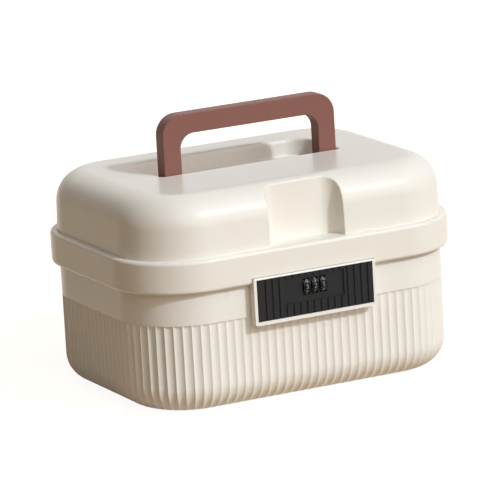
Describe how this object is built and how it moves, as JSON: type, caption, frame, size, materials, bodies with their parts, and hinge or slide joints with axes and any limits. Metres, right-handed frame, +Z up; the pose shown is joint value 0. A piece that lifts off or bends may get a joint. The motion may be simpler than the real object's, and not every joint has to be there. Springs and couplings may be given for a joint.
{
  "type": "lockable storage box",
  "caption": "Storage box with a fluted base, a hinged domed lid, a fold-down carry handle and a lock flap with code dials.",
  "frame": {"origin": "on the table, under the middle of the lid band", "axes": "+X to the box's right as its lock is faced, -Y out of the lock, +Z up"},
  "size_m": [0.3, 0.2377, 0.2259],
  "materials": {
    "base_plastic": "glossy cream moulding",
    "lid_plastic": "glossy cream moulding",
    "handle_plastic": "satin brown-red moulding",
    "frame_plastic": "glossy cream moulding",
    "fascia_plastic": "satin black moulding",
    "cover_plastic": "satin black moulding",
    "dial_plastic": "black moulding with pale digits",
    "pin_steel": "drawn steel",
    "plate_steel": "pressed steel",
    "bolt_steel": "turned steel",
    "spring_steel": "spring steel",
    "screw_steel": "zinc-plated steel"
  },
  "bodies": {
    "base": {"base_shell": "base_plastic", "hinge_pin_left": "pin_steel", "hinge_pin_right": "pin_steel", "flap_pin": "pin_steel"},
    "lid": {"lid_shell": "lid_plastic", "handle_pin_left": "pin_steel", "handle_pin_right": "pin_steel", "striker": "plate_steel", "striker_screws": "screw_steel"},
    "handle": {"handle": "handle_plastic"},
    "flap": {"lock_frame": "frame_plastic", "lock_fascia": "fascia_plastic", "lock_cover": "cover_plastic", "cover_screws": "screw_steel", "lock_chassis": "plate_steel", "dial_spindle": "pin_steel", "detent_spring": "spring_steel", "bolt_spring": "spring_steel"},
    "dial_left": {"code_dial_left": "dial_plastic"},
    "dial_middle": {"code_dial_middle": "dial_plastic"},
    "dial_right": {"code_dial_right": "dial_plastic"},
    "bolt": {"lock_bolt": "bolt_steel"}
  },
  "joints": [
    {"name": "lid_hinge", "type": "hinge", "parent": "base", "child": "lid", "pos_m": [0, 0.118, 0.0995], "axis": [-1, 0, 0], "range_deg": [0, 105]},
    {"name": "handle_fold", "type": "hinge", "parent": "lid", "child": "handle", "pos_m": [0, -0.0059, 0.16965], "axis": [-1, 0, 0], "range_deg": [0, 90]},
    {"name": "flap_hinge", "type": "hinge", "parent": "base", "child": "flap", "pos_m": [0, -0.1102, 0.0696], "axis": [1, 0, 0], "range_deg": [0, 105]},
    {"name": "dial_left_turn", "type": "hinge", "parent": "flap", "child": "dial_left", "pos_m": [-0.0075, -0.1072, 0.0927], "axis": [1, 0, 0], "continuous": true},
    {"name": "dial_middle_turn", "type": "hinge", "parent": "flap", "child": "dial_middle", "pos_m": [0, -0.1072, 0.0927], "axis": [1, 0, 0], "continuous": true},
    {"name": "dial_right_turn", "type": "hinge", "parent": "flap", "child": "dial_right", "pos_m": [0.0075, -0.1072, 0.0927], "axis": [1, 0, 0], "continuous": true},
    {"name": "bolt_slide", "type": "slide", "parent": "flap", "child": "bolt", "axis": [1, 0, 0], "range_m": [0, 0.0055]}
  ]
}
